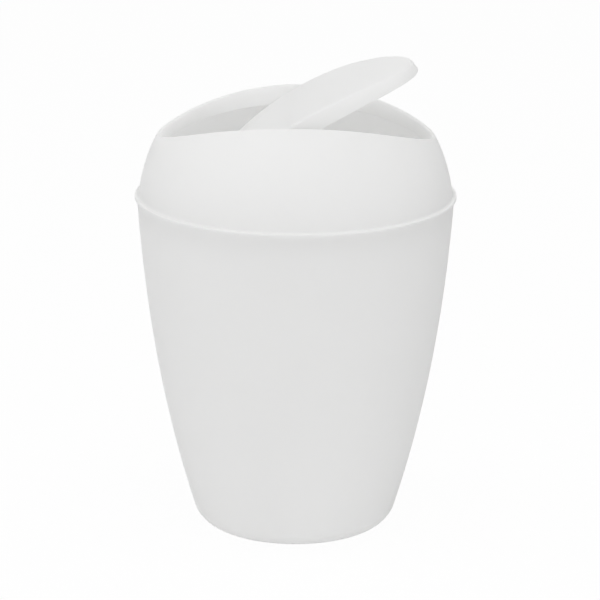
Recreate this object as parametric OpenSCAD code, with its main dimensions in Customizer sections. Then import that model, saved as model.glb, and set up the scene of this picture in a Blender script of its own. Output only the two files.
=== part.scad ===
/* [Bin] */
// Height of the bin up to its rim
bin_h = 148.3; // [125:1:175]
// Outer radius of the bin at its rim
mouth_r = 69; // [66:0.5:74]
// Lean of the side just under the rim, in degrees
side_lean = 3.7; // [1:0.1:6]
// How far the side has bowed in at the foot, on top of its lean
side_bow = 14; // [8:0.2:20]
// Extra tuck of the side close to the foot
side_tuck = 3.7; // [0:0.1:8]
// Radius of the round between side and base
corner_r = 12.5; // [7:0.5:15]
// Wall of the bin and of its base
wall = 1.6; // [1.2:0.1:2.2]
// Width of the ring that the bin stands on
foot_w = 3; // [2:0.5:6]
// How far the middle of the base is pushed up
base_rise = 0.8; // [0.4:0.1:1.5]
// Lead-in bevel inside the rim
rim_bevel = 0.5; // [0.2:0.1:0.8]

/* [Lid] */
// How far the lip of the lid stands out past the bin
lip_out = 1; // [0.5:0.1:2]
// Thickness of the lip
lip_t = 1.2; // [1:0.1:2]
// Rounding of the lip's upper edge
lip_round_r = 0.5; // [0.2:0.1:0.7]
// Rounding of the lip's lower edge
lip_break_r = 0.2; // [0.1:0.05:0.3]
// How far the foot of the dome stands in from the edge of the lip
dome_in = 1.6; // [1.5:0.1:3]
// Inward lean of the dome at its foot, in degrees
dome_lean = 5.5; // [2:0.5:8]
// Wall of the dome
dome_wall = 1.6; // [1.2:0.1:2]
// Radius of the blend between the dome and its lip
blend_r = 1; // [0.4:0.1:1]
// Height of the rim of the lid over the lip's underside, at the front
rim_h = 40.1; // [36:0.2:46]
// How far the rim stands in from the foot of the dome at its two ends
rim_in_len = 8.7; // [7.5:0.1:11]
// How far the rim stands in from the foot of the dome at the front and back
rim_in_wid = 25.7; // [20:0.1:28]
// Fullness of the rim's outline, 2 is an ellipse
rim_full = 1.84; // [1.8:0.02:2.1]
// Radius of the arch that the rim follows from end to end
rim_arch_r = 147; // [130:1:200]
// Rounding along the top of the rim
rim_round_r = 1; // [0.8:0.1:1.2]

/* [Collar] */
// How far the collar leans in at the two ends
collar_in_len = 3.1; // [2.6:0.1:4.5]
// How far the collar leans in at the front and back
collar_in_wid = 5.3; // [4:0.1:7]
// Depth of the collar at the front and back
collar_depth = 7.4; // [6.5:0.1:9]
// Radius of the arch that the lower edge of the collar follows
collar_arch_r = 170; // [150:1:220]
// Fullness of the outline of the hole and of the flap in it, 2 is an ellipse
hole_full = 2.18; // [2:0.02:2.3]
// Wall of the collar
collar_wall = 1.4; // [1.2:0.1:1.8]

/* [Plug] */
// How deep the lid's plug reaches into the bin
plug_depth = 8; // [5:0.5:12]
// Wall of the plug
plug_wall = 1.4; // [1:0.1:2]
// Gap between the plug and the bin, all round
plug_gap = 0.3; // [0.2:0.05:0.5]

/* [Flap] */
// Gap between the flap and the lower edge of the collar
flap_gap = 0.8; // [0.7:0.1:1.5]
// Height of the flap's crown over its pivot
flap_rise = 4.4; // [3:0.1:5]
// Radius of the flap's arch from end to end
flap_arch_r = 164; // [150:1:220]
// Wall of the flap's panel
flap_wall = 1.6; // [1.2:0.1:2]
// Depth of the skirt round the flap
skirt_h = 7.8; // [6.5:0.1:9]
// Depth of the skirt at the two ends of the flap
skirt_end_h = 4.5; // [4:0.1:6.5]
// Wall of the skirt
skirt_wall = 1.4; // [1.1:0.1:1.8]
// Outward lean of the skirt from top to bottom
skirt_draft = 0.3; // [0:0.05:0.5]
// Rounding between the panel and its skirt
edge_r = 1.1; // [0.6:0.1:1.4]
// Thickness of the rib between the two pins
rib_t = 1.4; // [1:0.1:2]
// Tilt of the flap as it stands, its right end up
flap_tilt = 31.7; // [-40:0.1:40]

/* [Pivot] */
// Depth of the pivot below the rim's highest point
pivot_drop = 4.6; // [4.4:0.1:6]
// Diameter of the pins on the flap
pin_d = 4; // [3:0.1:4.4]
// How far a pin reaches into its socket
pin_reach = 3.2; // [2.5:0.1:4]
// Running gap round a pin
pin_gap = 0.05; // [0.03:0.01:0.1]
// Gap between the flap's side and the face of a socket
side_gap = 0.3; // [0.2:0.05:0.5]
// Wall round a socket's bore
socket_wall = 1.2; // [1:0.1:1.5]

/* [Hidden] */
plastic = [0.93, 0.93, 0.92];

// Fineness of round pieces, of the dome, of the flap and of the pins and bores
round_fn = 144;
dome_sides = 96;
flap_sides = 80;
pin_fn = 64;

// Sizes that follow from the ones above
lip_r = mouth_r + lip_out;
foot_r = lip_r - dome_in;
rim_half_len = foot_r - rim_in_len;
rim_half_wid = foot_r - rim_in_wid;
rim_z = bin_h + rim_h;
pivot_z = rim_z - pivot_drop;
hole_half_len = rim_half_len - collar_in_len;
hole_half_wid = rim_half_wid - collar_in_wid;
flap_half_len = hole_half_len - flap_gap;
flap_half_wid = hole_half_wid - flap_gap;
socket_y = flap_half_wid + side_gap;
bore_r = pin_d / 2 + pin_gap;
socket_r = bore_r + socket_wall;
bore_depth = pin_reach + side_gap;
// The loft of the dome starts inside the lip, so the two are one solid
root_z = lip_t / 2;
overlap = 0.5;
// How far the rib under the flap stays above the lower edge of the skirt
rib_short = 0.5;

// Points of an arc about c from angle a to angle b, in n steps
function arc(c, r, a, b, n) = [for (i = [0:n]) c + r * [cos(a + (b - a) * i / n), sin(a + (b - a) * i / n)]];

// How far an arch of radius r has dropped at a distance x from its crown
function drop(x, r) = r - sqrt(r * r - x * x);

// Polar radius of an oval with half axes a and b and a fullness, seen at an angle
function oval_r(a, b, full, angle) =
    pow(pow(abs(cos(angle)) / a, full) + pow(abs(sin(angle)) / b, full), -1 / full);

// Share of its half axis that a point of an oval is at, from the sine or cosine of its angle
function oval_share(v, full) = sign(v) * pow(abs(v), 2 / full);

// Triangles of a tube of closed rings that is itself closed on itself
function at(ring, point, points, rings) = (ring % rings) * points + point % points;
function loft_faces(rings, points) = [
    for (i = [0:rings - 1], j = [0:points - 1], half = [0, 1])
        half == 0
            ? [at(i, j, points, rings), at(i, j + 1, points, rings), at(i + 1, j, points, rings)]
            : [at(i, j + 1, points, rings), at(i + 1, j + 1, points, rings), at(i + 1, j, points, rings)]
];

// Side of the bin at a distance d below its rim
function side_r(d) = mouth_r - d * tan(side_lean) - side_bow * pow(d / bin_h, 2) - side_tuck * pow(d / bin_h, 3);
function side_angle(d) =
    atan(tan(side_lean) + 2 * side_bow * d / pow(bin_h, 2) + 3 * side_tuck * d * d / pow(bin_h, 3));
function side_point(d, inset) =
    [side_r(d) - inset * cos(side_angle(d)), bin_h - d + inset * sin(side_angle(d))];

// The side meets the round of the foot where the two have the same lean
foot_angle = side_angle(bin_h - corner_r * 0.7);
side_d = bin_h - corner_r * (1 - sin(foot_angle));
corner_c = [side_r(side_d) - corner_r * cos(foot_angle), corner_r];
panel_r = corner_c[0] - foot_w;
gate_r = 2;
gate_h = 0.3;
side_steps = 16;
corner_steps = 8;

// Inner radius of the bin at a distance d below its rim
function inner_r(d) = side_r(d) - wall / cos(side_angle(d));

module bin_body() {
    outside = [for (i = [1:side_steps - 1]) side_point(side_d * (1 - i / side_steps), 0)];
    inside = [for (i = [1:side_steps - 1]) side_point(side_d * i / side_steps, wall)];
    profile = concat(
        [[0, base_rise - gate_h], [gate_r, base_rise - gate_h], [gate_r, base_rise]],
        [[panel_r - base_rise, base_rise], [panel_r, 0]],
        arc(corner_c, corner_r, -90, -foot_angle, corner_steps),
        outside,
        [[mouth_r, bin_h], [inner_r(0) + rim_bevel, bin_h], [inner_r(rim_bevel), bin_h - rim_bevel]],
        inside,
        arc(corner_c, corner_r - wall, -foot_angle, -90, corner_steps),
        [[panel_r, wall], [panel_r - base_rise, wall + base_rise], [0, wall + base_rise]]
    );
    color(plastic) rotate_extrude($fn = round_fn) polygon(profile);
}

// The ring of the lid: the lip that rests on the bin, and the plug inside it
module lid_ring() {
    plug_r = inner_r(0) - plug_gap;
    plug_tip_r = inner_r(plug_depth) - plug_gap;
    lead_in = plug_wall / 2;
    profile = concat(
        [[plug_r - plug_wall, lip_t], [plug_tip_r - plug_wall, -plug_depth]],
        [[plug_tip_r - lead_in, -plug_depth], [plug_tip_r, -plug_depth + lead_in], [plug_r, 0]],
        arc([lip_r - lip_break_r, lip_break_r], lip_break_r, -90, 0, 2),
        arc([lip_r - lip_round_r, lip_t - lip_round_r], lip_round_r, 0, 90, 4)
    );
    translate([0, 0, bin_h]) rotate_extrude($fn = round_fn) polygon(profile);
}

// One section through the wall of the dome and its collar, at an angle round the lid.
// Heights are counted from the lip's underside.
function dome_section(angle) =
    let (
        // Middle of the round on the rim, and the lower edge of the collar
        rim_r = oval_r(rim_half_len, rim_half_wid, rim_full, angle),
        rim_c = [rim_r, rim_h - rim_round_r - drop(rim_r * cos(angle), rim_arch_r)],
        hole_r = oval_r(hole_half_len, hole_half_wid, hole_full, angle),
        edge = [hole_r, rim_h - collar_depth - drop(hole_r * cos(angle), collar_arch_r)],
        // The dome is an arc that leaves its foot at dome_lean and runs into the round of the rim
        foot = [foot_r, 0],
        lean = [cos(dome_lean), sin(dome_lean)],
        span = foot - rim_c,
        r = (span * span - pow(rim_round_r, 2)) / 2 / (span * lean - rim_round_r),
        c = foot - r * lean,
        top_angle = atan2(rim_c[1] - c[1], rim_c[0] - c[0]),
        // Blend between the dome and the top of the lip
        blend_z = lip_t + blend_r,
        blend_c = [c[0] + sqrt(pow(r + blend_r, 2) - pow(blend_z - c[1], 2)), blend_z],
        foot_top = atan2(blend_z - c[1], blend_c[0] - c[0]),
        // The collar's face is tangent to the round of the rim
        fall = edge - rim_c,
        face_angle = atan2(fall[1], fall[0]) + 360 - acos(rim_round_r / norm(fall)),
        normal = [cos(face_angle), sin(face_angle)],
        face_top = rim_c + rim_round_r * normal,
        down = (edge - face_top) / norm(edge - face_top),
        // Where the back of the collar meets the inside of the dome
        back_top = face_top - collar_wall * normal,
        inner = r - dome_wall,
        reach = back_top - c,
        b = reach * down,
        s = -b - sqrt(b * b - reach * reach + inner * inner),
        t = s > 0 ? s : -b + sqrt(b * b - reach * reach + inner * inner),
        joint = back_top + t * down - c,
        joint_angle = atan2(joint[1], joint[0]),
        root_angle = asin((root_z - c[1]) / inner)
    )
    concat(
        [[blend_c[0], root_z]],
        arc(blend_c, blend_r, 270, 180 + foot_top, 3),
        arc(c, r, foot_top + (top_angle - foot_top) / 13, top_angle, 12),
        arc(rim_c, rim_round_r, top_angle + (face_angle - top_angle) / 6, face_angle, 5),
        [edge, edge - collar_wall * normal / 2 + collar_wall / 3 * down, edge - collar_wall * normal],
        arc(c, inner, joint_angle, root_angle, 9)
    );

module dome_shell() {
    sections = [for (i = [0:dome_sides - 1]) dome_section(360 * i / dome_sides)];
    size = len(sections[0]);
    points = [
        for (i = [0:dome_sides - 1], p = sections[i])
            [p[0] * cos(360 * i / dome_sides), p[0] * sin(360 * i / dome_sides), bin_h + p[1]]
    ];
    polyhedron(points, loft_faces(dome_sides, size));
}

// Pushes its children out to the front and the back, along the pivot
module both_sides() {
    for (side = [-1, 1])
        translate([0, 0, pivot_z]) rotate([90 * side, 0, 0]) children();
}

module lid_dome() {
    color(plastic) difference() {
        union() {
            lid_ring();
            dome_shell();
            both_sides() translate([0, 0, socket_y])
                cylinder(r = socket_r, h = bore_depth + socket_wall, $fn = pin_fn);
        }
        both_sides() translate([0, 0, socket_y - overlap]) cylinder(r = bore_r, h = bore_depth + overlap, $fn = pin_fn);
    }
}

// A point of the flap. A ring is its inset from the flap's outline, its share of that outline,
// its depth below the arched top, and how much less deep it is at the two ends.
function flap_point(angle, ring) =
    let (
        x = (flap_half_len - ring[0]) * ring[1] * oval_share(cos(angle), hole_full),
        y = (flap_half_wid - ring[0]) * ring[1] * oval_share(sin(angle), hole_full)
    )
    [x, y, flap_rise - drop(x, flap_arch_r) - ring[2] + ring[3] * pow(x / flap_half_len, 2)];

module flap_panel() {
    top_inset = edge_r + skirt_draft;
    inner = skirt_wall + skirt_draft;
    end_rise = skirt_h - skirt_end_h;
    rings = concat(
        [for (share = [0.25, 0.5, 0.75, 0.92]) [top_inset, share, 0, 0]],
        [for (a = [0, 30, 60, 90]) [top_inset - edge_r * sin(a), 1, edge_r * (1 - cos(a)), 0]],
        [[0, 1, skirt_h, end_rise], [skirt_wall, 1, skirt_h, end_rise]],
        [[inner, 1, flap_wall + edge_r / 2, 0], [inner + edge_r / 2, 1, flap_wall, 0]],
        [for (share = [0.75, 0.5, 0.25]) [inner, share, flap_wall, 0]]
    );
    points = concat(
        [[0, 0, flap_rise]],
        [for (ring = rings, i = [0:flap_sides - 1]) flap_point(360 * i / flap_sides, ring)],
        [[0, 0, flap_rise - flap_wall]]
    );
    last = len(points) - 1;
    faces = concat(
        [for (i = [0:flap_sides - 1]) [0, 1 + (i + 1) % flap_sides, 1 + i]],
        [
            for (k = [0:len(rings) - 2], i = [0:flap_sides - 1], half = [0, 1])
                let (
                    a = 1 + k * flap_sides + i,
                    b = 1 + k * flap_sides + (i + 1) % flap_sides
                )
                half == 0 ? [a, b, a + flap_sides] : [b, b + flap_sides, a + flap_sides]
        ],
        [for (i = [0:flap_sides - 1]) [last, last - flap_sides + i, last - flap_sides + (i + 1) % flap_sides]]
    );
    polyhedron(points, faces);
}

module swing_flap() {
    rib_half = flap_half_wid - skirt_wall / 2;
    rib_drop = skirt_h - flap_rise - rib_short;
    color(plastic) translate([0, 0, pivot_z]) rotate([0, -flap_tilt, 0]) union() {
        flap_panel();
        translate([-rib_t / 2, -rib_half, -rib_drop]) cube([rib_t, 2 * rib_half, rib_drop + flap_rise - flap_wall / 2]);
        for (side = [-1, 1])
            rotate([90 * side, 0, 0]) translate([0, 0, rib_half - pin_d])
                cylinder(d = pin_d, h = socket_y + pin_reach - rib_half + pin_d, $fn = pin_fn);
    }
}

bin_body();
lid_dome();
swing_flap();
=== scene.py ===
"""Looks of a small countertop bin with a domed lid and a swing flap, in matt white plastic."""

import math

import bmesh
import bpy
from mathutils import Matrix, Vector


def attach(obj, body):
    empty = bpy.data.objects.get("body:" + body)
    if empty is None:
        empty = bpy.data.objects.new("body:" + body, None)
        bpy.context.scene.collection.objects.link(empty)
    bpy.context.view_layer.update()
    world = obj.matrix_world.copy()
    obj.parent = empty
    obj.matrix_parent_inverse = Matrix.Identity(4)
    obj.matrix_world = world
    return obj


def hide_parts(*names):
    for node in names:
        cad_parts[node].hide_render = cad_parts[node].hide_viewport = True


MM = 0.001
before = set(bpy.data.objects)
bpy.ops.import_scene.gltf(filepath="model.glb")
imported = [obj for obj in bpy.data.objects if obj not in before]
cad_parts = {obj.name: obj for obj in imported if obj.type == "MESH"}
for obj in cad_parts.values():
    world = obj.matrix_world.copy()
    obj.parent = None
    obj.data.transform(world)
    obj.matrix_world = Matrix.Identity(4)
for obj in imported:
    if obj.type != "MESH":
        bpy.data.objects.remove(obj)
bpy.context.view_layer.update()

# Sizes in millimetres and degrees, as the solid model has them
BIN = {
    "Height": 148.3,
    "Mouth radius": 69.0,
    "Side lean": 3.7,
    "Side bow": 14.0,
    "Side tuck": 3.7,
    "Corner radius": 12.5,
    "Wall": 1.6,
    "Foot width": 3.0,
    "Base rise": 0.8,
    "Rim bevel": 0.5,
}
LID = {
    "Seat height": 148.3,
    "Lip radius": 70.0,
    "Lip thickness": 1.2,
    "Foot radius": 68.4,
    "Foot lean": 5.5,
    "Dome wall": 1.6,
    "Blend radius": 1.0,
    "Rim height": 40.1,
    "Rim half length": 59.7,
    "Rim half width": 42.7,
    "Rim fullness": 1.84,
    "Rim arch": 147.0,
    "Rim round": 1.0,
    "Hole half length": 56.6,
    "Hole half width": 37.4,
    "Hole fullness": 2.18,
    "Collar depth": 7.4,
    "Collar arch": 170.0,
    "Collar wall": 1.4,
    "Plug radius": 67.1,
    "Plug tip radius": 66.58,
    "Plug depth": 8.0,
    "Plug wall": 1.4,
    "Pivot drop": 4.6,
    "Socket face": 36.9,
    "Socket radius": 3.25,
    "Socket depth": 4.7,
    "Bore radius": 2.05,
    "Bore depth": 3.5,
}
FLAP = {
    "Pivot height": 183.8,
    "Half length": 55.8,
    "Half width": 36.6,
    "Fullness": 2.18,
    "Rise": 4.4,
    "Arch": 164.0,
    "Wall": 1.6,
    "Skirt": 7.8,
    "Skirt at the ends": 4.5,
    "Skirt wall": 1.4,
    "Draft": 0.3,
    "Edge round": 1.1,
    "Rib thickness": 1.4,
    "Tilt": 31.7,
    "Pin radius": 2.0,
    "Pin end": 40.1,
}

# How finely the pieces are divided round about
BIN_SIDES, LID_SIDES, FLAP_SIDES, PIN_SIDES = 256, 288, 256, 64
# Points closer than this, in millimetres, become one where two strokes of a skin meet
MERGE = 0.004
SHARP_FROM = math.radians(38)
DEGREE = math.radians(1)
QUARTER = math.pi / 2

# The plastic: its colour, how much of the light goes through a face, its finish, and the sizes
# of the patterns in it. Lengths are in metres
COLOUR = (0.94, 0.94, 0.938)
DARKER, PALER = 0.985, 1.012
LIGHT_THROUGH = 0.34
ROUGHNESS, GLOSS, REFRACTION = 0.6, 0.2, 1.49
GRAIN, RIPPLE, FLOW, CLOUD = 0.00045, 0.006, 0.022, 0.05
FLOW_STRETCH = 0.16
NOISE_ROUGHNESS, NOISE_MEAN = 0.55, 0.5
BUMP_DEPTH, BUMP_STRENGTH = 0.00002, 0.35

# The studio, in metres and watts, with the camera's sensor and lens in millimetres
WHITE = (1.0, 1.0, 1.0, 1.0)
BOUNCES = 32
AMBIENT = 0.4
FLOOR = (0.97, 0.97, 0.97, 1.0)
FLOOR_GLOW = 0.96
FLOOR_HALF_WIDTH = 6.0
FLOOR_DROP = 0.0001
LAMP_WIDTH, LAMP_AIM = 1.3, (0.0, 0.0, 0.11)
LAMPS = [
    ("Light from the left", (-1.88, 0.0, 0.79), 7.3),
    ("Low light from the front", (0.34, -1.95, 0.39), 9.6),
    ("Light overhead", (0.0, -0.35, 2.08), 13.2),
    ("High light from the right", (1.0, 0.0, 1.84), 3.1),
]
SENSOR, LENS, CLIP_START, CLIP_END = 36.0, 221.1, 0.05, 50.0
CAMERA_DOWN, CAMERA_SWING, CAMERA_ROLL = 16.06 * DEGREE, 1.0 * DEGREE, 0.24 * DEGREE
CAMERA_AIM, CAMERA_AWAY = (0.0021, 0.0, 0.10115), 1.6174


class Value:
    """An output of a node. Its operators add Math nodes to the same tree."""

    def __init__(self, nodes, socket):
        self.nodes, self.socket = nodes, socket

    def also(self, name):
        return Value(self.nodes, self.socket.node.outputs[name])

    def __add__(self, other):
        return reckon("ADD", self, other)

    def __sub__(self, other):
        return reckon("SUBTRACT", self, other)

    def __rsub__(self, other):
        return reckon("SUBTRACT", other, self)

    def __mul__(self, other):
        return reckon("MULTIPLY", self, other)

    def __truediv__(self, other):
        return reckon("DIVIDE", self, other)

    def __rtruediv__(self, other):
        return reckon("DIVIDE", other, self)

    def __pow__(self, other):
        return reckon("POWER", self, other)

    def __neg__(self):
        return reckon("MULTIPLY", self, -1.0)

    def __abs__(self):
        return reckon("ABSOLUTE", self)

    __radd__ = __add__
    __rmul__ = __mul__


class Nodes:
    """Adds nodes to one tree."""

    def __init__(self, tree):
        self.tree = tree

    def add(self, kind, settings=None, values=None, output=0):
        """A new node with those settings. Its inputs, by name or number, are set or linked."""
        node = self.tree.nodes.new(kind)
        for name, value in (settings or {}).items():
            setattr(node, name, value)
        for name, value in (values or {}).items():
            socket = node.inputs[name] if isinstance(name, int) else self.socket(node, name)
            for one in value if isinstance(value, list) else [value]:
                if isinstance(one, Value):
                    self.tree.links.new(one.socket, socket)
                else:
                    socket.default_value = one
        return Value(self, node.outputs[output]) if node.outputs else None

    @staticmethod
    def socket(node, name):
        return next(s for s in node.inputs if s.name == name and s.enabled)


def reckon(operation, *terms):
    """A Math node on terms of which at least one is the output of a node."""
    nodes = next(t.nodes for t in terms if isinstance(t, Value))
    return nodes.add("ShaderNodeMath", {"operation": operation}, dict(enumerate(terms)))


def maths(operation):
    return lambda *terms: reckon(operation, *terms)


sin, cos, tan = maths("SINE"), maths("COSINE"), maths("TANGENT")
asin, acos = maths("ARCSINE"), maths("ARCCOSINE")
atan, atan2 = maths("ARCTANGENT"), maths("ARCTAN2")
root, sign, larger = maths("SQRT"), maths("SIGN"), maths("MAXIMUM")


class Spot:
    """A point of a section: how far it is from the axis, and its height."""

    def __init__(self, r, z):
        self.r, self.z = r, z

    def __add__(self, other):
        return Spot(self.r + other.r, self.z + other.z)

    def __sub__(self, other):
        return Spot(self.r - other.r, self.z - other.z)

    def __mul__(self, share):
        return Spot(self.r * share, self.z * share)

    def dot(self, other):
        return self.r * other.r + self.z * other.z


class Stroke:
    """One run of a section. `at` gives its point at a share of the way along it. `core` is 1 on
    faces that the mould's polished core makes, and `edge` on those that hands rub."""

    def __init__(self, steps, at, core=0.0, edge=0.0):
        self.steps, self.at, self.core, self.edge = steps, at, core, edge


def heading(angle):
    return Spot(cos(angle), sin(angle))


def line(a, b, steps=1, **finish):
    return Stroke(steps, lambda t: a + (b - a) * t, **finish)


def chain(spots, steps, **finish):
    """Straight strokes from each spot to the next, each with its number of steps."""
    return [line(a, b, n, **finish) for a, b, n in zip(spots, spots[1:], steps)]


def arc(centre, radius, a, b, steps, **finish):
    return Stroke(steps, lambda t: centre + heading(t * (b - a) + a) * radius, **finish)


def shell(nodes, strokes, around, place):
    """A closed skin: one grid for each stroke, laid in space by `place`, joined and closed."""
    skins = []
    for stroke in strokes:
        skin = nodes.add(
            "GeometryNodeMeshGrid",
            None,
            {
                "Size X": 1.0,
                "Size Y": 1.0,
                "Vertices X": around + 1,
                "Vertices Y": stroke.steps + 1,
            },
        )
        for name, value in (("core", stroke.core), ("edge", stroke.edge)):
            skin = nodes.add(
                "GeometryNodeStoreNamedAttribute",
                {"data_type": "FLOAT", "domain": "POINT"},
                {"Geometry": skin, "Name": name, "Value": value},
            )
        x, y, z = place(stroke.at(nodes.along))
        spot = nodes.add("ShaderNodeCombineXYZ", None, {"X": x, "Y": y, "Z": z})
        values = {"Geometry": skin, "Position": spot}
        skins.append(nodes.add("GeometryNodeSetPosition", None, values))
    joined = nodes.add("GeometryNodeJoinGeometry", None, {"Geometry": skins})
    values = {"Geometry": joined, "Distance": MERGE}
    return nodes.add("GeometryNodeMergeByDistance", None, values)


def turned(nodes, strokes, around):
    """A skin turned about the upright axis."""
    angle = nodes.angle
    return shell(nodes, strokes, around, lambda p: (p.r * cos(angle), p.r * sin(angle), p.z))


def moved(nodes, piece, shift=(0, 0, 0), turn=(0, 0, 0), scale=(1, 1, 1)):
    values = {"Geometry": piece, "Translation": shift, "Rotation": turn, "Scale": scale}
    return nodes.add("GeometryNodeTransform", None, values)


def at_height(nodes, z):
    return nodes.add("ShaderNodeCombineXYZ", None, {"Z": z})


def fused(nodes, operation, first, others):
    if operation == "UNION":
        values = {"Mesh": [first, *others]}
    else:
        values = {"Mesh 1": first, "Mesh 2": others}
    settings = {"operation": operation, "solver": "MANIFOLD"}
    return nodes.add("GeometryNodeMeshBoolean", settings, values)


def both_sides(nodes, piece, height):
    """The piece, turned from upright to point to the front and to the back at that height."""
    up = at_height(nodes, height)
    return [moved(nodes, piece, up, (side * QUARTER, 0, 0)) for side in (1, -1)]


def make(name, sizes, shape, material):
    """Builds a tree for one piece, with its sizes as named inputs, and returns its plain mesh."""
    tree = bpy.data.node_groups.new(name + " shape", "GeometryNodeTree")
    tree.interface.new_socket(name="Geometry", in_out="OUTPUT", socket_type="NodeSocketGeometry")
    for size in sizes:
        tree.interface.new_socket(name=size, in_out="INPUT", socket_type="NodeSocketFloat")
    nodes = Nodes(tree)
    given = nodes.add("NodeGroupInput")
    place = nodes.add("GeometryNodeInputPosition")
    spread = nodes.add("ShaderNodeSeparateXYZ", None, {"Vector": place})
    nodes.angle = (spread + 0.5) * math.tau
    nodes.along = spread.also("Y") + 0.5
    piece = moved(nodes, shape(nodes, lambda size: given.also(size)), scale=(MM, MM, MM))
    piece = nodes.add("GeometryNodeRealizeInstances", None, {"Geometry": piece})
    values = {"Geometry": piece, "Material": material}
    piece = nodes.add("GeometryNodeSetMaterial", None, values)
    nodes.add("NodeGroupOutput", None, {"Geometry": piece})

    carrier = bpy.data.objects.new(name, bpy.data.meshes.new(name))
    bpy.context.scene.collection.objects.link(carrier)
    modifier = carrier.modifiers.new("Shape", "NODES")
    modifier.node_group = tree
    for item in tree.interface.items_tree:
        if item.in_out == "INPUT":
            modifier[item.identifier] = sizes[item.name]
    graph = bpy.context.evaluated_depsgraph_get()
    mesh = bpy.data.meshes.new_from_object(carrier.evaluated_get(graph), depsgraph=graph)
    carrier.modifiers.clear()
    carrier.data = mesh
    mesh.shade_smooth()
    mesh.set_sharp_from_angle(angle=SHARP_FROM)
    return carrier


def bin_shape(nodes, size):
    height, mouth, wall = size("Height"), size("Mouth radius"), size("Wall")
    corner, rise, bevel = size("Corner radius"), size("Base rise"), size("Rim bevel")
    lean, bow, tuck = tan(size("Side lean") * DEGREE), size("Side bow"), size("Side tuck")

    def side_r(d):
        """Radius of the side at a depth d below the rim."""
        share = d / height
        return mouth - d * lean - share * share * (bow + tuck * share)

    def side_angle(d):
        share = d / height
        return atan(lean + share * (2 * bow + 3 * tuck * share) / height)

    def side(d, inset):
        angle = side_angle(d)
        return Spot(side_r(d) - inset * cos(angle), height - d + inset * sin(angle))

    # The round of the foot takes on the lean that the side has at this share of its radius
    lean_share = 0.7
    foot_angle = side_angle(height - corner * lean_share)
    side_d = height - corner * (1 - sin(foot_angle))
    corner_c = Spot(side_r(side_d) - corner * cos(foot_angle), corner)
    panel = corner_c.r - size("Foot width")

    # The rim is rounded outside and bevelled inside, and the inner face is straight at first
    rim_round, rim_lean_d, straight = 0.35, 0.5, 3.0
    rim_d = rim_round * (1 + sin(side_angle(rim_lean_d)))
    rim_c = side(rim_d, rim_round)
    bore = side_r(0.0) - wall / cos(side_angle(0.0))
    bevel_low = Spot(bore - bevel * lean, height - bevel)

    # A dip in the middle of the base, where the plastic was let into the mould
    gate_r, gate_dip, gate_slope, gate_step = 2.0, 0.3, 0.15, 0.1
    gate_z = rise - gate_dip
    underside = [
        Spot(0.0, gate_z),
        Spot(gate_r - gate_slope, gate_z),
        Spot(gate_r, gate_z + gate_step),
        Spot(gate_r, rise),
        Spot(panel - rise, rise),
        Spot(panel, 0.0),
        Spot(corner_c.r, 0.0),
    ]
    inside = [
        Spot(corner_c.r, wall),
        Spot(panel, wall),
        Spot(panel - rise, wall + rise),
        Spot(0.0, wall + rise),
    ]
    strokes = [
        *chain(underside, (3, 2, 1, 8, 2, 2)),
        arc(corner_c, corner, -QUARTER, -foot_angle, 20),
        Stroke(90, lambda t: side(side_d + (rim_d - side_d) * t, 0.0)),
        arc(rim_c, rim_round, -side_angle(rim_d), QUARTER, 6, edge=1.0),
        line(Spot(rim_c.r, height), Spot(bore + bevel, height), edge=1.0),
        line(Spot(bore + bevel, height), bevel_low, core=1.0, edge=1.0),
        line(bevel_low, side(straight, wall), core=1.0),
        Stroke(60, lambda t: side(straight + (side_d - straight) * t, wall), core=1.0),
        arc(corner_c, corner - wall, -foot_angle, -QUARTER, 14, core=1.0),
        *chain(inside, (1, 1, 10), core=1.0),
    ]
    return turned(nodes, strokes, BIN_SIDES)


def drop(x, arch):
    """How far an arch of that radius has dropped at a distance x from its crown."""
    return arch - root(arch * arch - x * x)


def oval(nodes, half_length, half_width, fullness):
    """Radius of an oval at the angle round the lid."""
    length_share = abs(cos(nodes.angle)) / half_length
    width_share = abs(sin(nodes.angle)) / half_width
    return (length_share**fullness + width_share**fullness) ** (-1 / fullness)


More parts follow.
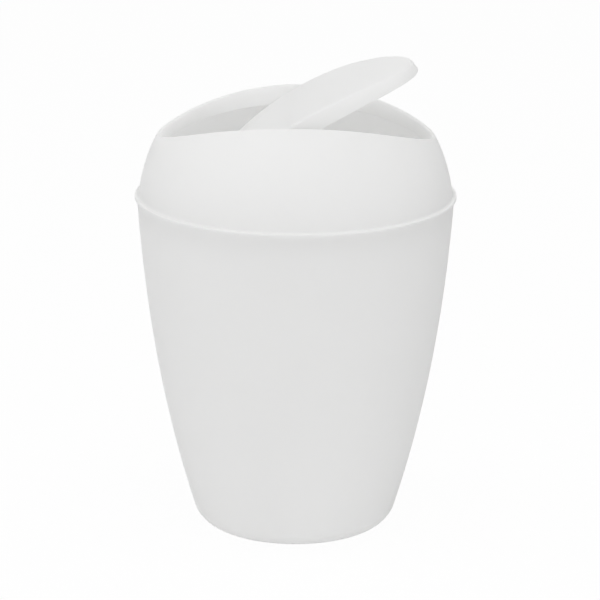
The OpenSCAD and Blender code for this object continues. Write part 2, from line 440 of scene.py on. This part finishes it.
def lid_shape(nodes, size):
    lip_r, lip_t, blend = size("Lip radius"), size("Lip thickness"), size("Blend radius")
    rim_h, rim_round, wall = size("Rim height"), size("Rim round"), size("Dome wall")
    lip_round, lip_break = 0.5, 0.2

    def ring(what, low, inset, arch):
        """An oval on the lid, lowered and then bent down along an arch."""
        names = ("half length", "half width", "fullness")
        r = oval(nodes, *(size(f"{what} {name}") for name in names))
        return Spot(r, low - inset - drop(r * cos(nodes.angle), size(arch)))

    # Middle of the round on the rim, and the lower edge of the collar
    rim_c = ring("Rim", rim_h, rim_round, "Rim arch")
    collar_edge = ring("Hole", rim_h, size("Collar depth"), "Collar arch")

    # The dome leaves its foot at its lean and runs into the round of the rim
    foot = Spot(size("Foot radius"), 0.0)
    lean = heading(size("Foot lean") * DEGREE)
    span = foot - rim_c
    r = (span.dot(span) - rim_round * rim_round) / 2 / (span.dot(lean) - rim_round)
    c = foot - lean * r
    top = atan2(rim_c.z - c.z, rim_c.r - c.r)

    # Blend between the dome and the top of the lip
    blend_z = lip_t + blend
    away, up = r + blend, blend_z - c.z
    blend_c = Spot(c.r + root(away * away - up * up), blend_z)
    foot_top = atan2(up, blend_c.r - c.r)

    # The collar's face is tangent to the round of the rim
    fall = collar_edge - rim_c
    face = atan2(fall.z, fall.r) + math.tau - acos(rim_round / root(fall.dot(fall)))
    out = heading(face)
    face_top = rim_c + out * rim_round
    run = collar_edge - face_top
    down = run * (1 / root(run.dot(run)))
    thick = size("Collar wall")
    middle = collar_edge - out * (thick / 2)

    def round_below(t):
        """The round on the collar's lower edge, half as wide as the collar and a third as deep."""
        return middle + out * (cos(t * math.pi) * thick / 2) + down * (sin(t * math.pi) * thick / 3)

    # Where the back of the collar meets the inside of the dome
    inner = r - wall
    back_top = face_top - out * thick
    reach = back_top - c
    b = reach.dot(down)
    half_chord = root(b * b - reach.dot(reach) + inner * inner)
    near, far = -b - half_chord, -b + half_chord
    ahead = nodes.add(
        "FunctionNodeCompare",
        {"data_type": "FLOAT", "operation": "GREATER_THAN"},
        {"A": near, "B": 0.0},
    )
    values = {"Switch": ahead, "False": far, "True": near}
    joint = back_top + down * nodes.add("GeometryNodeSwitch", {"input_type": "FLOAT"}, values)
    joint_angle = atan2(joint.z - c.z, joint.r - c.r)
    ledge_angle = asin((lip_t - c.z) / inner)

    # The plug below the lip, from its inner face round its tip to the lip
    plug, tip, depth = size("Plug radius"), size("Plug tip radius"), size("Plug depth")
    plug_wall, plug_round = size("Plug wall"), 0.35
    tip_in = tip - plug_wall
    plug_low = Spot(tip_in + plug_round, plug_round - depth)
    plug_line = [
        Spot(tip_in + plug_round, -depth),
        Spot(tip - plug_wall / 2, -depth),
        Spot(tip, plug_wall / 2 - depth),
        Spot(plug, 0.0),
        Spot(lip_r - lip_break, 0.0),
    ]
    inside = [
        c + heading(ledge_angle) * inner,
        Spot(plug - plug_wall, lip_t),
        Spot(tip_in, plug_round - depth),
    ]
    strokes = [
        arc(plug_low, plug_round, -2 * QUARTER, -QUARTER, 4, core=1.0),
        *chain(plug_line, (1, 2, 6, 2), core=1.0),
        arc(Spot(lip_r - lip_break, lip_break), lip_break, -QUARTER, 0.0, 4, edge=1.0),
        line(Spot(lip_r, lip_break), Spot(lip_r, lip_t - lip_round), edge=1.0),
        arc(Spot(lip_r - lip_round, lip_t - lip_round), lip_round, 0.0, QUARTER, 6, edge=1.0),
        line(Spot(lip_r - lip_round, lip_t), Spot(blend_c.r, lip_t)),
        arc(blend_c, blend, 3 * QUARTER, foot_top + 2 * QUARTER, 7),
        arc(c, r, foot_top, top, 44),
        arc(rim_c, rim_round, top, face, 14, edge=1.0),
        line(face_top, collar_edge, 10),
        Stroke(8, round_below),
        line(collar_edge - out * thick, joint, 4, core=1.0),
        arc(c, inner, joint_angle, ledge_angle, 30, core=1.0),
        *chain(inside, (1, 6), core=1.0),
    ]
    dome = turned(nodes, strokes, LID_SIDES)

    # Blind sockets for the flap's pins, at the front and the back of the collar
    near_y, boss, bore = size("Socket face"), size("Socket radius"), size("Bore radius")
    end, bore_end = near_y + size("Socket depth"), near_y + size("Bore depth")
    break_in, boss_round, lead_in, clear = 0.25, 0.5, 0.3, 1.0
    boss_strokes = [
        line(Spot(0.0, near_y), Spot(boss - break_in, near_y)),
        arc(Spot(boss - break_in, near_y + break_in), break_in, -QUARTER, 0.0, 3),
        line(Spot(boss, near_y + break_in), Spot(boss, end - boss_round), 2),
        arc(Spot(boss - boss_round, end - boss_round), boss_round, 0.0, QUARTER, 4),
        line(Spot(boss - boss_round, end), Spot(0.0, end)),
    ]
    bore_line = [
        Spot(0.0, near_y - clear),
        Spot(bore + lead_in, near_y - clear),
        Spot(bore + lead_in, near_y),
        Spot(bore, near_y + lead_in),
        Spot(bore, bore_end),
        Spot(0.0, bore_end),
    ]
    pivot = rim_h - size("Pivot drop")
    bosses = both_sides(nodes, turned(nodes, boss_strokes, PIN_SIDES), pivot)
    bore_strokes = chain(bore_line, (1, 1, 1, 2, 1), core=1.0)
    bores = both_sides(nodes, turned(nodes, bore_strokes, PIN_SIDES), pivot)
    lid = fused(nodes, "DIFFERENCE", fused(nodes, "UNION", dome, bosses), bores)
    return moved(nodes, lid, at_height(nodes, size("Seat height")))


def flap_shape(nodes, size):
    half_x, half_y = size("Half length"), size("Half width")
    rise, arch, wall = size("Rise"), size("Arch"), size("Wall")
    skirt, skirt_wall, draft = size("Skirt"), size("Skirt wall"), size("Draft")
    edge, lift = size("Edge round"), skirt - size("Skirt at the ends")
    top, inner, low_round = edge + draft, skirt_wall + draft, 0.3
    c, s, power = cos(nodes.angle), sin(nodes.angle), 2 / size("Fullness")
    unit_x, unit_y = sign(c) * abs(c) ** power, sign(s) * abs(s) ** power

    def place(ring):
        """A ring is its inset from the outline, its share of it, its depth, and how far its
        ends come up."""
        inset, share, depth, ends = ring
        x = (half_x - inset) * share * unit_x
        y = (half_y - inset) * share * unit_y
        off = x / half_x
        return x, y, rise - drop(x, arch) - depth + ends * off * off

    def blend(a, b, steps, **finish):
        return Stroke(steps, lambda t: [p + (q - p) * t for p, q in zip(a, b)], **finish)

    def corner(inset, depth, radius, a, b, ends, steps, **finish):
        """A round about a middle at that inset and depth, from angle a to b, which are counted
        from outward to downward."""

        def at(t):
            angle = t * (b - a) + a
            return [inset - radius * cos(angle), 1.0, depth + radius * sin(angle), ends]

        return Stroke(steps, at, **finish)

    fillet, low, skirt_in = edge / 2, skirt - low_round, skirt_wall - low_round
    strokes = [
        blend([inner + fillet, 0.0, wall, 0.0], [inner + fillet, 1.0, wall, 0.0], 24, core=1.0),
        corner(inner + fillet, wall + fillet, fillet, -QUARTER, 0.0, 0.0, 4, core=1.0),
        blend([inner, 1.0, wall + fillet, 0.0], [skirt_wall, 1.0, low, lift], 6, core=1.0),
        corner(skirt_in, low, low_round, 2 * QUARTER, QUARTER, lift, 3, core=1.0),
        blend([skirt_in, 1.0, skirt, lift], [low_round, 1.0, skirt, lift], 2, edge=1.0),
        corner(low_round, low, low_round, QUARTER, 0.0, lift, 4, edge=1.0),
        blend([0.0, 1.0, low, lift], [draft, 1.0, edge, 0.0], 10),
        corner(draft + edge, edge, edge, 0.0, -QUARTER, 0.0, 9, edge=1.0),
        blend([top, 1.0, 0.0, 0.0], [top, 0.0, 0.0, 0.0], 40),
    ]
    panel = shell(nodes, strokes, FLAP_SIDES, place)

    # A rib across the underside, a little less deep than the skirt
    rib_short = 0.5
    rib_half = half_y - skirt_wall / 2
    rib_low, rib_high = rib_short - skirt + rise, rise - wall / 2
    values = {"X": size("Rib thickness"), "Y": 2 * rib_half, "Z": rib_high - rib_low}
    block = nodes.add("ShaderNodeCombineXYZ", None, values)
    block = nodes.add("GeometryNodeMeshCube", None, {"Size": block})
    rib = moved(nodes, block, at_height(nodes, (rib_low + rib_high) / 2))

    # A pin at each end of the rib, rooted inside it
    pin, end, pin_root, pin_break = size("Pin radius"), size("Pin end"), 4, 0.4
    pin_line = [
        Spot(0.0, rib_half - pin_root),
        Spot(pin, rib_half - pin_root),
        Spot(pin, end - pin_break),
        Spot(pin - pin_break, end),
        Spot(0.0, end),
    ]
    pin_skin = turned(nodes, chain(pin_line, (1, 2, 1, 1)), PIN_SIDES)
    flap = fused(nodes, "UNION", panel, [rib, *both_sides(nodes, pin_skin, 0.0)])
    tilt = nodes.add("ShaderNodeCombineXYZ", None, {"Y": -size("Tilt") * DEGREE})
    return moved(nodes, flap, at_height(nodes, size("Pivot height")), tilt)


def emptied(owner):
    """The nodes of a material or a world, with none in its tree yet."""
    owner.use_nodes = True
    owner.node_tree.nodes.clear()
    return Nodes(owner.node_tree)


def tinted(share):
    return (*(c * share for c in COLOUR), 1.0)


def matt_plastic(name):
    """Injection-moulded plastic: a fine spark-eroded grain outside, a smoother face where the
    core was. Its thin white walls let part of the light through, so the inside isn't dark."""
    material = bpy.data.materials.new(name)
    nodes = emptied(material)
    place = nodes.add("ShaderNodeTexCoord", output="Object")
    core = nodes.add("ShaderNodeAttribute", {"attribute_name": "core"}, output="Fac")
    edge = nodes.add("ShaderNodeAttribute", {"attribute_name": "edge"}, output="Fac")

    def noise(size, detail, vector=place):
        values = {"Scale": 1 / size, "Detail": detail, "Roughness": NOISE_ROUGHNESS}
        return nodes.add("ShaderNodeTexNoise", None, {"Vector": vector, **values})

    def sway(pattern):
        """How far a noise is above or below its mean."""
        return pattern - NOISE_MEAN

    values = {"Vector": place, "Scale": (1.0, 1.0, FLOW_STRETCH)}
    stretched = nodes.add("ShaderNodeMapping", None, values)
    grain = noise(GRAIN, 2.0)
    ripple = noise(RIPPLE, 1.0)
    flow = noise(FLOW, 3.0, stretched)
    cloud = noise(CLOUD, 2.0)
    flow_shade, cloud_shade, grain_shade, mid_shade = 0.5, 0.5, 0.25, 0.5
    shade = sway(flow) * flow_shade + sway(cloud) * cloud_shade + sway(grain) * grain_shade
    body = nodes.add(
        "ShaderNodeMix",
        {"data_type": "RGBA", "clamp_factor": True},
        {"Factor": shade + mid_shade, "A": tinted(DARKER), "B": tinted(PALER)},
        output=2,
    )
    grain_rough, ripple_rough, core_smooth, edge_smooth = 0.08, 0.05, 0.12, 0.06
    rough = ROUGHNESS + sway(grain) * grain_rough + sway(ripple) * ripple_rough
    rough = rough - core * core_smooth - edge * edge_smooth
    core_flat, edge_flat, ripple_height = 0.75, 0.4, 0.5
    height = grain * (1 - core * core_flat) * (1 - edge * edge_flat) + ripple * ripple_height
    values = {"Strength": BUMP_STRENGTH, "Distance": BUMP_DEPTH, "Height": height}
    bump = nodes.add("ShaderNodeBump", None, values)
    surface = nodes.add(
        "ShaderNodeBsdfPrincipled",
        None,
        {
            "Base Color": body,
            "Roughness": rough,
            "Normal": bump,
            "IOR": REFRACTION,
            "Specular IOR Level": GLOSS,
        },
    )
    glow = nodes.add("ShaderNodeBsdfTranslucent", None, {"Color": tinted(1.0)})
    wall = nodes.add("ShaderNodeMixShader", None, {0: LIGHT_THROUGH, 1: surface, 2: glow})
    nodes.add("ShaderNodeOutputMaterial", None, {"Surface": wall})
    return material


def seen(nodes):
    """1 for the rays of the camera, of mirrors and of glass, which see white all round."""
    path = nodes.add("ShaderNodeLightPath")
    return larger(path, larger(path.also("Is Glossy Ray"), path.also("Is Transmission Ray")))


def backdrop():
    """A white background whose light is softer, and a pale floor that keeps a faint shadow."""
    scene = bpy.context.scene
    world = bpy.data.worlds.new("Pale studio")
    scene.world = world
    nodes = emptied(world)
    soft, white = (
        nodes.add("ShaderNodeBackground", None, {"Color": WHITE, "Strength": strength})
        for strength in (AMBIENT, 1.0)
    )
    mixed = nodes.add("ShaderNodeMixShader", None, {0: seen(nodes), 1: soft, 2: white})
    nodes.add("ShaderNodeOutputWorld", None, {"Surface": mixed})

    floor_look = bpy.data.materials.new("Pale floor")
    nodes = emptied(floor_look)
    lit = nodes.add("ShaderNodeBsdfDiffuse", None, {"Color": FLOOR})
    glow = nodes.add("ShaderNodeEmission", None, {"Color": WHITE, "Strength": 1.0})
    share = seen(nodes) * FLOOR_GLOW
    mixed = nodes.add("ShaderNodeMixShader", None, {0: share, 1: lit, 2: glow})
    nodes.add("ShaderNodeOutputMaterial", None, {"Surface": mixed})
    sheet = bmesh.new()
    bmesh.ops.create_grid(sheet, x_segments=4, y_segments=4, size=FLOOR_HALF_WIDTH)
    mesh = bpy.data.meshes.new("Floor")
    sheet.to_mesh(mesh)
    sheet.free()
    floor = bpy.data.objects.new("Floor", mesh)
    floor.data.materials.append(floor_look)
    scene.collection.objects.link(floor)
    # A hair below the bin, so that no face of the floor lies in a face of the bin
    floor.location.z = -FLOOR_DROP


def lamps():
    """Four wide lamps, and as many bounces as it takes to fill the inside with light."""
    scene = bpy.context.scene
    scene.view_settings.view_transform = "Standard"
    scene.cycles.max_bounces = BOUNCES
    scene.cycles.diffuse_bounces = scene.cycles.transmission_bounces = BOUNCES
    for name, spot, power in LAMPS:
        lamp = bpy.data.lights.new(name, "AREA")
        lamp.shape, lamp.size, lamp.energy = "DISK", LAMP_WIDTH, power
        holder = bpy.data.objects.new(name, lamp)
        turn = (Vector(LAMP_AIM) - Vector(spot)).to_track_quat("-Z", "Y").to_matrix().to_4x4()
        holder.matrix_world = Matrix.Translation(spot) @ turn
        scene.collection.objects.link(holder)


def stand_camera():
    """The camera, 16 degrees above the table and a little to the right of the bin's front."""
    scene = bpy.context.scene
    camera = bpy.data.cameras.new("Camera")
    camera.sensor_width, camera.lens = SENSOR, LENS
    camera.clip_start, camera.clip_end = CLIP_START, CLIP_END
    turn = Matrix.Rotation(CAMERA_SWING, 3, "Z")
    ahead = turn @ Vector((0, math.cos(CAMERA_DOWN), -math.sin(CAMERA_DOWN)))
    right = ahead.cross(Vector((0, 0, 1))).normalized()
    up = right.cross(ahead)
    right, up = (
        right * math.cos(CAMERA_ROLL) + up * math.sin(CAMERA_ROLL),
        up * math.cos(CAMERA_ROLL) - right * math.sin(CAMERA_ROLL),
    )
    stand = Matrix((right, up, -ahead)).transposed().to_4x4()
    stand.translation = turn @ Vector(CAMERA_AIM) - ahead * CAMERA_AWAY
    holder = bpy.data.objects.new("Camera", camera)
    holder.matrix_world = stand
    scene.collection.objects.link(holder)
    scene.camera = holder


backdrop()
lamps()
stand_camera()
for name, sizes, shape, node, body in (
    ("bin_walls", BIN, bin_shape, "bin_body", "bin"),
    ("domed_lid", LID, lid_shape, "lid_dome", "lid"),
    ("swing_flap_shell", FLAP, flap_shape, "swing_flap", "flap"),
):
    look = matt_plastic(f"Matt white plastic of the {body}")
    piece = make(name, sizes, shape, look)
    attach(piece, body)
    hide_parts(node)
